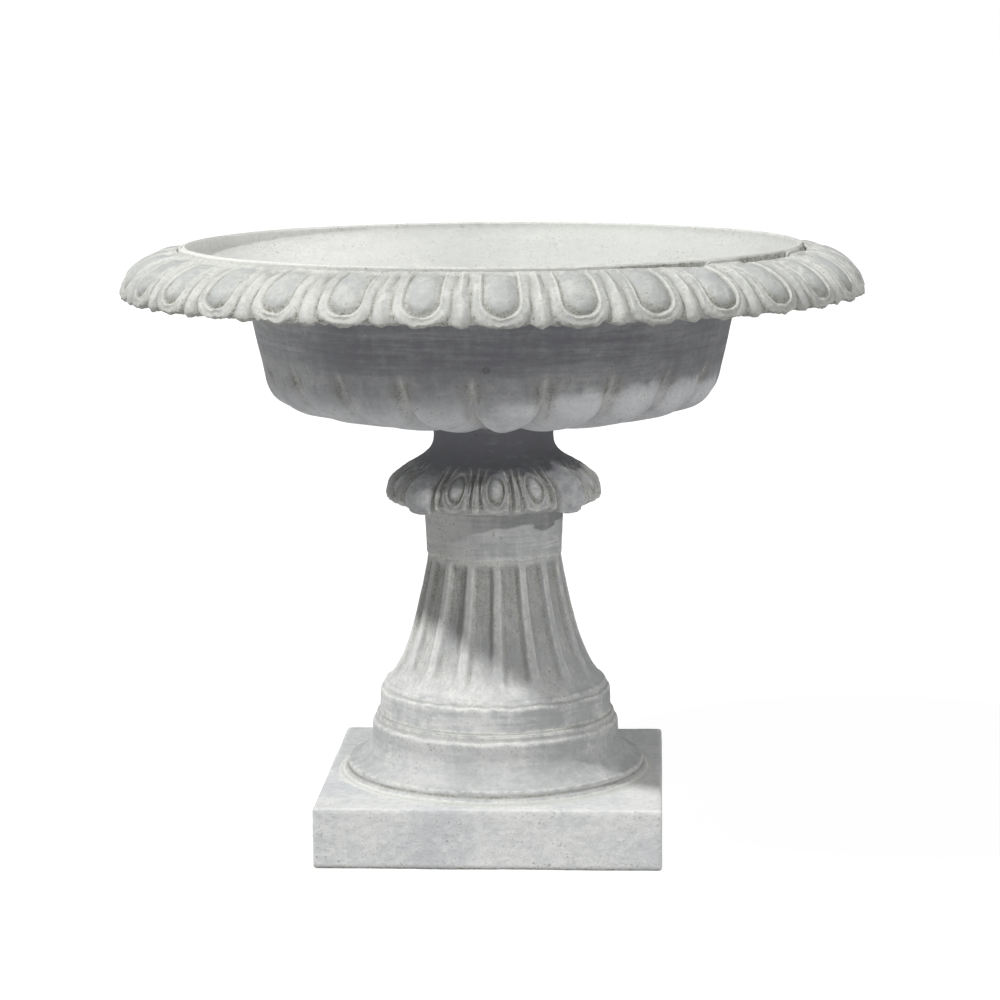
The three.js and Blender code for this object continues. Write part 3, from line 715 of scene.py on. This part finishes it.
def makePlinth():
    at = plinthSettings
    side, height = at["side"], at["height"]
    piece = addBlock("plinthBlock", (side, side, height), (0, 0, height / 2))
    openUp(piece)
    bpy.ops.mesh.bevel(offset=at["bevel"] * mm, segments=3, affect="EDGES")
    bpy.ops.mesh.select_all(action="DESELECT")
    goTo("OBJECT")
    for face in piece.data.polygons:
        face.select = face.normal.z < -0.99
    goTo("EDIT")
    bpy.ops.mesh.inset(thickness=((side - at["recess"]) / 2 - at["bevel"]) * mm)
    bpy.ops.mesh.extrude_region_move(TRANSFORM_OT_translate={"value": (0, 0, (height - at["deck"]) * mm)})
    cutHole(piece, at["socket"], height - at["deck"], height, at["socketSides"])
    applyModifier(piece, "REMESH", mode="VOXEL", voxel_size=at["grain"] * mm)
    applyModifier(piece, "SMOOTH", factor=0.5, iterations=1)
    roughen(piece, at["lumps"])
    co = places(piece)
    co[:, 2] = np.maximum(co[:, 2], 0)  # it stands flat
    moveTo(piece, co)
    mark(piece, "brushed", 0.4)
    mark(piece, "grimeAndShade", 0.9 * (1 - softStep(co[:, 2], *at["damp"])))  # damp rises from the ground
    return piece


# mortar: thin beds struck flush, the one under the rim drawn up into the crack behind its edge

bedSettings = {
    "steps": 200,
    "mortar_bed_foot": [(30.6, 48.2), (30.6, 50.9), (123.6, 52.2), (125.6, 51.2, 1), (127.2, 49.9, 1), (130.5, 49, 1),
                        (131, 48.2)],
    "mortar_bed_shaft": [(30.6, 97.9), (30.6, 100), (94.6, 101.2), (95.7, 100.3, 0.5), (96.3, 99.1, 0.5), (97.7, 98.2),
                         (97.9, 97.4)],
    "mortar_bed_collar": [(30.6, 267.9), (30.6, 270.1), (57, 270.2), (57.4, 269.1), (57.1, 268)],
    "mortar_bed_bowl": [(30.6, 339), (30.6, 341.2), (53.6, 341.3), (53.2, 340.2), (52.2, 339)],
    "mortar_bed_rim": [(249.8, 459.6), (249.8, 482.2), (250.6, 482.5), (251.5, 482.2), (251.5, 461.8), (267, 461.8),
                       (267.8, 460.7), (267, 459.6)],
    "lumps": [(16, 0.5), (6, 0.2)], "limedFrom": 123,
    "crackLumps": [(22, 0.9), (5, 0.6)], "crackDepth": 6, "crackAbove": 470,
}


def makeBed(node):
    at = bedSettings
    outline = filleted(at[node], 30)
    limed = np.array(outline)[:, 0] > at["limedFrom"]
    piece = spinRound(drawOutline(node.split("_")[-1] + "Pointing", outline, limed=limed), at["steps"])
    if node != "mortar_bed_rim":
        roughen(piece, at["lumps"])
        return piece
    co = places(piece)
    missing = washedOut(co) * (co[:, 2] > at["crackAbove"])
    mark(piece, "grimeAndShade", missing)
    co[:, 2] -= at["crackDepth"] * missing
    moveTo(piece, co)
    roughen(piece, at["crackLumps"])
    return piece


# the tie: a threaded rod with clamp bars, washers, nuts and rubber pads, down the middle

tieSettings = {
    "rod": 5, "rodLow": 7.1, "rodHigh": 381.6, "chamfer": 0.8, "thread": 1.5, "threadDeep": 0.45, "threadTop": 30,
    "threadBottom": 26, "rodSteps": 28, "hole": 5.4,
    "nutFlats": 16, "nutTurn": 11, "nutBevel": 0.5, "top_nut": (370.6, 378.6), "bottom_nut": (10.1, 18.1),
    "washer": 9.8, "washerBevel": 0.4, "washerSteps": 48, "top_washer": (368.3, 370.3), "bottom_washer": (18.4, 20.4),
    "barWide": 20, "barBevel": 0.9, "top_clamp_bar": (362, 368, 42), "bottom_clamp_bar": (20.7, 26.7, 48),
    "padWide": 20, "padBevel": 0.35, "padHeights": (360.2, 361.7), "front_pad": (-42, -26), "rear_pad": (26, 42),
}


def makeRod(node):  # the thread is cut as rings, only where the rod shows
    at = tieSettings
    low, high, radius = at["rodLow"], at["rodHigh"], at["rod"]
    outline = [(0, low), (radius - at["chamfer"], low)]
    height = low + at["chamfer"]
    while height < high - at["chamfer"]:
        outline.append((radius - 0.02, height))
        if height < low + at["threadBottom"] or height > high - at["threadTop"]:
            outline.append((radius - at["threadDeep"], height + at["thread"] / 2))
            height += at["thread"]
        else:
            height = high - at["threadTop"] + 0.1
    outline += [(radius - at["chamfer"], high), (0, high)]
    return spinRound(drawOutline("threadedRod", outline, closed=False), at["rodSteps"])


def makeNut(node):
    at = tieSettings
    piece = addRound(at["nutFlats"] / sqrt(3), *at[node], 6)
    piece.name = node.split("_")[0] + "HexNut"
    turnTo(piece, radians(at["nutTurn"]))
    cutHole(piece, at["hole"], *at[node])
    bevelSharp(piece, at["nutBevel"])
    return piece


def makeWasher(node):
    at = tieSettings
    low, high = at[node]
    far, bevel = at["washer"], at["washerBevel"]
    corners = [(at["hole"], low), (at["hole"], high), (far - bevel, high), (far, high - bevel), (far, low + bevel),
               (far - bevel, low)]
    return spinRound(drawOutline(node.split("_")[0] + "PlainWasher", corners), at["washerSteps"])


def makeBar(node):
    at = tieSettings
    low, high, reach = at[node]
    name = node.split("_")[0] + "ClampBar"
    piece = addBlock(name, (at["barWide"], 2 * reach, high - low), (0, 0, (low + high) / 2))
    cutHole(piece, at["hole"], low, high)
    bevelSharp(piece, at["barBevel"], 3)
    return piece


def makePad(node):
    at = tieSettings
    low, high = at["padHeights"]
    front, back = at[node]
    centre = (0, (front + back) / 2, (low + high) / 2)
    piece = addBlock(node.replace("_pad", "Rubber"), (at["padWide"], back - front, high - low), centre)
    bevelSharp(piece, at["padBevel"])
    return piece


# finishes: tools for their nodes, where a socket takes a value or another node's output

bench = {}  # holds the node tree that is being made


def newFinish(name):
    finish = bpy.data.materials.new(name)
    finish.use_nodes = True
    bench["tree"] = finish.node_tree
    return finish, finish.node_tree.nodes["Principled BSDF"]


def setSockets(node, sockets):
    for name, value in sockets.items():
        socket = node.inputs[name]
        if isinstance(value, bpy.types.NodeSocket):
            bench["tree"].links.new(value, socket)
        else:
            socket.default_value = (*value, 1) if socket.type == "RGBA" else value


def addNode(kind, sockets, **settings):
    node = bench["tree"].nodes.new(kind)
    for name, value in settings.items():
        setattr(node, name, value)
    setSockets(node, sockets)
    return node.outputs


def stretched(scale):
    spot = addNode("ShaderNodeTexCoord", {})["Object"]
    return addNode("ShaderNodeMapping", {"Vector": spot, "Scale": scale})["Vector"]


def noiseAt(vector, scale, detail=4, roughness=0.55, distortion=0):
    sockets = {"Vector": vector, "Scale": scale, "Detail": detail, "Roughness": roughness, "Distortion": distortion}
    return addNode("ShaderNodeTexNoise", sockets)["Fac"]


def ranged(value, low, high, start=0, end=1):
    sockets = {"Value": value, "From Min": low, "From Max": high, "To Min": start, "To Max": end}
    return addNode("ShaderNodeMapRange", sockets, interpolation_type="SMOOTHSTEP")["Result"]


def combined(kind, first, second, clamped=True):
    return addNode("ShaderNodeMath", {0: first, 1: second}, operation=kind, use_clamp=clamped)["Value"]


def mixed(share, first, second):  # colours
    return addNode("ShaderNodeMix", {0: share, 6: first, 7: second}, data_type="RGBA")[2]


def blended(share, first, second):  # plain values
    return addNode("ShaderNodeMix", {0: share, 2: first, 3: second})[0]


def readAttribute(name):
    return addNode("ShaderNodeAttribute", {}, attribute_name=name)["Fac"]


def bumped(shader, layers):
    sockets = {}
    for height, strength, distance in layers:
        sockets.update({"Height": height, "Strength": strength, "Distance": distance})
        sockets["Normal"] = addNode("ShaderNodeBump", sockets)["Normal"]
    setSockets(shader, {"Normal": sockets["Normal"]})


stoneSettings = {
    # the deep and the pale tone of each stone, and the colours laid over them
    "bowl": ((0.38, 0.385, 0.4), (0.63, 0.635, 0.64)), "shaft": ((0.42, 0.43, 0.435), (0.7, 0.705, 0.69)),
    "foot": ((0.41, 0.42, 0.425), (0.59, 0.595, 0.585)), "rim": ((0.46, 0.47, 0.455), (0.7, 0.705, 0.67)),
    "plinth": ((0.58, 0.595, 0.61), (0.775, 0.78, 0.76)), "mortar": ((0.4, 0.41, 0.4), (0.6, 0.605, 0.58)),
    "washed": (0.74, 0.745, 0.76), "chalkAndHighlight": (0.81, 0.81, 0.77), "grimeAndShade": (0.24, 0.23, 0.19),
    # sheltered is a painted shadow colour
    "panel": (0.47, 0.49, 0.485), "pitShade": (0.16, 0.155, 0.14), "sheltered": (0.262, 0.264, 0.287),
    # inside is the limewashed inside; limewashAndPaintedLight is paler, painted light where the rim's shadow falls
    # inside at the left
    "inside": (0.64, 0.65, 0.62), "limewashAndPaintedLight": (0.88, 0.88, 0.85),
    # scale, detail, roughness and distortion of each noise
    "noises": {
        "clouds": (8, 5, 0.6, 0.4), "patches": (38, 6, 0.68), "mottle": (150, 6, 0.72), "grain": (800, 3, 0.6),
        "smears": (24, 8, 0.75, 0.8), "waves": (42, 2, 0.5, 0.6), "freckles": (420, 4, 0.7), "specks": (330, 2, 0.5),
        "pores": (61, 3),
    },
    "brush": (1, 4, 0.6), "hairs": (1, 4, 0.65, 0.3), "cells": 190,
    "hairsRound": (26, 26, 330), "hairsUpright": (330, 330, 36),
    "toneShares": {"clouds": 0.3, "brush": 0.2, "hairs": 0.2, "patches": 0.15, "mottle": 0.15},
    # by what a layer follows: from where to where, and its strength there; side is how far right on the piece, in m
    "layers": {
        "tone": {"pale": (0.41, 0.59), "limed": (0.4, 0.6, 0.75, 1), "sheltered": (0.42, 0.6, 1, 0.5)},
        "side": {
            # painted light and shade on the shaft and the foot: paler at the left, darker at the right
            "shaftLean": (-0.06, 0.1, 0.035, -0.07), "footLean": (-0.06, 0.1, 0.015, -0.03),
            "limewashAndPaintedLight": (-0.2, -0.03, 1, 0), "paintedShadeLeft": (-0.2, -0.07), "paintedShadeRight": (0.11, 0.2, 1, 0.5),
            "crestHighlightLeft": (-0.08, -0.03, 0.4, 1), "crestHighlightRight": (0, 0.07, 1, 0.35),
        },
        "patches": {
            "washed": (0.34, 0.58, 0.5, 1), "panel": (0.35, 0.62, 0.85, 0.25),
            "crest": (0.36, 0.6, 0.3, 0.85), "scratched": (0.52, 0.64, 0, 0.3), "hollow": (0.36, 0.6, 0.3, 0.95),
            "freckled": (0.42, 0.62, 0.1, 0.75), "roughness": (0.3, 0.7, 0.84, 0.96),
        },
        "mottle": {
            "ridge": (0.38, 0.6, 0.1, 0.85), "rimRidge": (0.38, 0.6, 0.1, 0.65),
            "plinthRidge": (0.38, 0.6, 0.1, 0.25), "mortarRidge": (0.38, 0.6, 0.1, 0.25),
            "grimeAndShade": (0.4, 0.57, 0.2, 1),
        },
        "smears": {"smears": (0.56, 0.7, 0, 0.55)},
        "hairs": {"smearHairs": (0.4, 0.55)},
        "awayFromWave": {"scratchLines": (0.006, 0)},
        "grain": {"speckle": (0.42, 0.6, 1, 0.35)},
        "freckles": {"freckles": (0.56, 0.68)},
        "specks": {"specks": (0.74, 0.8, 0, 0.8)},
        "cellDistance": {"holes": (0.2, 0.08)},
        "pores": {"pored": (0.62, 0.7)},
        "pitDistance": {"pitEdge": (0.0034, 0.0026), "pitFloor": (0, 0.0018, 0.15, 0.5)},
    },
    "holeShare": 0.6, "pitPlace": (0.0053, -0.1893, 0.4011),
    "bumps": (("patches", 0.5, 0.0016), ("hairs", 0.35, 0.0008), ("mottle", 0.7, 0.0012), ("grain", 0.35, 0.0004),
              ("poreEdges", 0.6, 0.0009)),
}


def makeStone(name, tint, strokes):
    at = stoneSettings
    finish, shader = newFinish(name)
    plain = stretched((1, 1, 1))
    value = {kind: noiseAt(plain, *numbers) for kind, numbers in at["noises"].items()}

    def times(first, *others):
        for other in others:
            first = combined("MULTIPLY", first, other)
        return first

    def share(layer):  # a stone may have its own, such as rimRidge
        for kind, layers in at["layers"].items():
            if layer in layers:
                return ranged(value[kind], *layers.get(tint + layer.capitalize(), layers[layer]))

    def marked(layer):  # the piece's own mark, broken up
        return times(readAttribute(layer), share(layer))

    value["side"] = addNode("ShaderNodeSeparateXYZ", {0: plain})["X"]
    value["brush"] = noiseAt(stretched(strokes), *at["brush"])
    hairs = noiseAt(stretched(at["hairsRound"]), *at["hairs"])
    if tint == "shaft":  # fine strokes run round a casting, but along its flutes
        upright = noiseAt(stretched(at["hairsUpright"]), *at["hairs"])
        hairs = blended(readAttribute("fluted"), hairs, upright)
    value["hairs"] = blended(readAttribute("brushed"), value["mottle"], hairs)
    tone = None
    for kind, part in at["toneShares"].items():
        layer = times(value[kind], part)
        tone = combined("ADD", tone, layer) if tone else layer
    if tint + "Lean" in at["layers"]["side"]:  # painted light and shade: paler at the left, where the key light falls, and darker at the right
        tone = combined("ADD", tone, share(tint + "Lean"), clamped=False)
    value["tone"] = tone

    crest = marked("crest")
    # painted light and shade: the flutes' pale edges are kept strongest in the middle and toned down at the left and
    # the right
    if tint == "shaft":
        crest = times(crest, share("crestHighlightRight"), share("crestHighlightLeft"))
    # the chalk smears keep off the painted shade
    outsidePaintedShade = combined("SUBTRACT", 1.2, readAttribute("sheltered"))
    fromWave = combined("SUBTRACT", value["waves"], 0.5, clamped=False)
    value["awayFromWave"] = addNode("ShaderNodeMath", {0: fromWave}, operation="ABSOLUTE")[0]
    hollow = times(marked("hollow"), combined("SUBTRACT", 1, readAttribute("crest")))
    dirtAndShade = combined("MAXIMUM", hollow, marked("grimeAndShade"))
    value["cellDistance"] = addNode("ShaderNodeTexVoronoi", {"Vector": plain, "Scale": at["cells"]})["Distance"]
    holes = times(share("holes"), share("pored"))
    value["poreEdges"] = combined("SUBTRACT", 1, holes)
    coats = [
        (marked("washed"), at["washed"]),
        # the inside's limewash, painted paler still towards the left as light where the rim's shadow falls
        (marked("limed"), mixed(share("limewashAndPaintedLight"), at["inside"], at["limewashAndPaintedLight"])),
        # painted shade: a bluish shadow colour on the wall under the rim and on the neck under the bowl, less of it at
        # the left and the right
        (times(marked("sheltered"), share("paintedShadeLeft"), share("paintedShadeRight")), at["sheltered"]),
        (marked("panel"), at["panel"]),
        (crest, at["chalkAndHighlight"]),  # limewash left on the ridges, with a painted highlight there, in smears and in scratches
        (marked("ridge"), at["chalkAndHighlight"]),
        (times(share("smears"), share("smearHairs"), outsidePaintedShade), at["chalkAndHighlight"]),
        (times(share("scratchLines"), share("scratched")), at["chalkAndHighlight"]),
        (times(dirtAndShade, share("speckle")), at["grimeAndShade"]),  # dirt and painted shade in the hollows, speckled
        (times(share("freckles"), share("freckled")), at["grimeAndShade"]),
        (share("specks"), at["chalkAndHighlight"]),
        # painted shade in the pores, with dirt
        (times(holes, at["holeShare"]), at["pitShade"]),
    ]
    if tint == "bowl":  # one old pit on the wall, painted dark as the shade inside it
        ends = {0: plain, 1: at["pitPlace"]}
        value["pitDistance"] = addNode("ShaderNodeVectorMath", ends, operation="DISTANCE")["Value"]
        coats.append((times(share("pitEdge"), share("pitFloor")), at["pitShade"]))
    colour = mixed(share("pale"), *at[tint])
    for mask, paint in coats:
        colour = mixed(mask, colour, paint)
    setSockets(shader, {"Base Color": colour, "Roughness": share("roughness"), "Specular IOR Level": 0.3})
    bumped(shader, [(value[kind], strength, distance) for kind, strength, distance in at["bumps"]])
    return finish


steelSettings = {
    "zinc": (0.5, 0.51, 0.53), "dull": (0.33, 0.335, 0.34), "rust": (0.22, 0.1, 0.045), "drawn": (900, 60, 900),
}


def makeSteel():
    at = steelSettings
    finish, shader = newFinish("zincSteel")
    plain = stretched((1, 1, 1))
    clouds = noiseAt(plain, 160, 5, 0.6)
    drawn = noiseAt(stretched(at["drawn"]), 1, 3)
    rust = ranged(noiseAt(plain, 70, 7, 0.7), 0.6, 0.7, 0, 0.8)
    colour = mixed(ranged(clouds, 0.35, 0.65), at["dull"], at["zinc"])
    setSockets(shader, {
        "Base Color": mixed(rust, colour, at["rust"]), "Metallic": combined("SUBTRACT", 1, rust),
        "Roughness": ranged(drawn, 0.3, 0.7, 0.34, 0.58),
    })
    bumped(shader, [(drawn, 0.15, 0.0001), (rust, 0.3, 0.0002)])
    return finish


rubberSettings = {"black": (0.022, 0.022, 0.023), "dust": (0.12, 0.115, 0.105)}


def makeRubber():
    at = rubberSettings
    finish, shader = newFinish("blackRubber")
    plain = stretched((1, 1, 1))
    dust = ranged(noiseAt(plain, 240, 5, 0.6), 0.45, 0.7, 0, 0.5)
    colour = mixed(dust, at["black"], at["dust"])
    setSockets(shader, {"Base Color": colour, "Roughness": ranged(dust, 0, 0.5, 0.62, 0.85)})
    bumped(shader, [(noiseAt(plain, 1400, 2), 0.3, 0.0001)])
    return finish


castStone = makeStone("castStone", "bowl", (6, 6, 80))
flutedStone = makeStone("flutedStone", "shaft", (70, 70, 8))
footStone = makeStone("footStone", "foot", (8, 8, 60))
plinthStone = makeStone("plinthStone", "plinth", (14, 14, 36))
rimStone = makeStone("rimStone", "rim", (30, 30, 34))
mortarMix = makeStone("mortarMix", "mortar", (60, 60, 60))
zincSteel = makeSteel()
blackRubber = makeRubber()
print("finishes made")

placePiece(makeRim(), "rim_stone", rimStone, "rim_ring")
placePiece(makeBowl(), "cast_stone", castStone, "bowl")
placePiece(makeCollar(), "cast_stone", castStone, "neck_collar")
placePiece(makeShaft(), "cast_stone", flutedStone, "fluted_shaft")
placePiece(makeFoot(), "cast_stone", footStone, "moulded_foot")
placePiece(makePlinth(), "cast_stone", plinthStone, "plinth")

smallParts = {
    "bed": (makeBed, "mortar", mortarMix), "rod": (makeRod, "steel", zincSteel), "nut": (makeNut, "steel", zincSteel),
    "washer": (makeWasher, "steel", zincSteel), "bar": (makeBar, "steel", zincSteel),
    "pad": (makePad, "rubber", blackRubber),
}
for node in sorted(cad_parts):
    kind = "bed" if node.startswith("mortar_bed") else node.split("_")[-1]
    if kind in smallParts:
        maker, slot, finish = smallParts[kind]
        placePiece(maker(node), slot, finish, node)


# camera, lamps, floor and sky

viewSettings = {  # angles in degrees, from the front and level; the camera's place is turned with its azimuth
    "azimuth": 3.04, "roll": -0.4, "side": 0.005, "back": -2.3733, "height": 0.6558, "down": 9.16732, "lens": 105.85,
    "key": {"azimuth": -60, "elevation": 49, "strength": 2.8, "angle": 2.5},
    "fill": {"azimuth": 47, "elevation": 28.5, "strength": 1.08, "angle": 2.5},
    "sky": 0.2, "floorSize": 60, "floor": (0.47, 0.47, 0.47), "floorSeen": (0.25, 0.25, 0.25), "floorGlow": 0.9,
}


def addSun(name):
    at = viewSettings[name]
    lamp = bpy.data.lights.new(name, "SUN")
    lamp.energy = at["strength"]
    lamp.angle = radians(at["angle"])
    sun = addObject(name, lamp)
    sun.rotation_euler = (radians(90 - at["elevation"]), 0, radians(at["azimuth"]))


def addCamera():
    at = viewSettings
    turn = radians(at["azimuth"])
    view = bpy.data.cameras.new("view")
    view.lens = at["lens"]
    view.sensor_width = 36
    camera = addObject("view", view)
    camera.location = Matrix.Rotation(turn, 3, "Z") @ Vector((at["side"], at["back"], at["height"]))
    tilt = Euler((radians(90 - at["down"]), 0, turn)).to_matrix()
    camera.rotation_euler = (tilt @ Matrix.Rotation(radians(at["roll"]), 3, "Z")).to_euler()
    bpy.context.scene.camera = camera


def setSurface(kind, plain, seen):  # seen by camera, glossy and transmission rays, plain to all others
    path = addNode("ShaderNodeLightPath", {})
    rays = combined("ADD", path["Is Camera Ray"], path["Is Glossy Ray"])
    rays = combined("ADD", rays, path["Is Transmission Ray"])
    addNode(kind, {"Surface": addNode("ShaderNodeMixShader", {0: rays, 1: plain, 2: seen})[0]})


def addFloor():
    at = viewSettings
    startPiece()
    bpy.ops.mesh.primitive_plane_add(size=at["floorSize"], location=(0, 0, 0))
    floor = bpy.context.object
    floor.name = "floor"
    finish, shader = newFinish("paleFloor")
    bench["tree"].nodes.clear()
    plain = addNode("ShaderNodeBsdfDiffuse", {"Color": at["floor"]})[0]
    shown = addNode("ShaderNodeBsdfDiffuse", {"Color": at["floorSeen"]})[0]
    glow = addNode("ShaderNodeEmission", {"Strength": at["floorGlow"]})[0]
    setSurface("ShaderNodeOutputMaterial", plain, addNode("ShaderNodeAddShader", {0: shown, 1: glow})[0])
    floor.data.materials.append(finish)


def addSky():
    world = bpy.data.worlds.new("studio")
    bpy.context.scene.world = world
    world.use_nodes = True
    bench["tree"] = world.node_tree
    bench["tree"].nodes.clear()
    soft, white = (addNode("ShaderNodeBackground", {"Color": (1, 1, 1), "Strength": strength})[0]
                   for strength in (viewSettings["sky"], 1))
    setSurface("ShaderNodeOutputWorld", soft, white)


addCamera()
addSun("key")
addSun("fill")
addFloor()
addSky()
bpy.context.scene.view_settings.view_transform = "Standard"
print("camera, lamps, floor and sky set")
